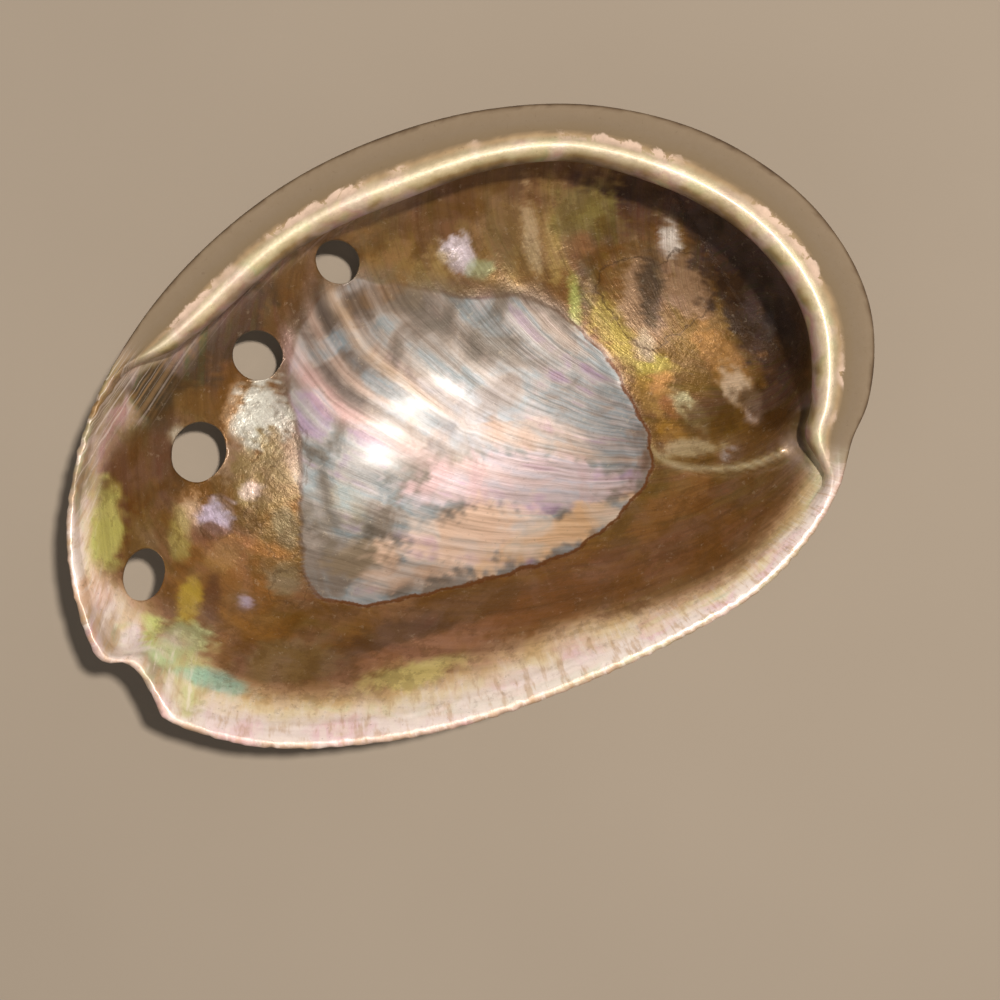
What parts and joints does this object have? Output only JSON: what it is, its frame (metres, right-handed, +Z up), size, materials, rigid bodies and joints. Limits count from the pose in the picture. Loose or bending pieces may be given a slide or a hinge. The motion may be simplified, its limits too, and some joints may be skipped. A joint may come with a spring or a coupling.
{
  "type": "abalone shell",
  "caption": "Ear-shaped sea shell, a shallow pearly bowl with a flat inner shelf, a row of open holes and a low spire, lying hollow side up.",
  "frame": {"origin": "middle of the shell's outline, on the surface that it lies on", "axes": "+X along the shell towards the spire, +Y towards the inner shelf, +Z up out of the hollow"},
  "size_m": [0.1501, 0.103, 0.0393],
  "materials": {
    "nacre": "satin"
  },
  "bodies": {
    "root": {"shell": "nacre"}
  },
  "joints": []
}
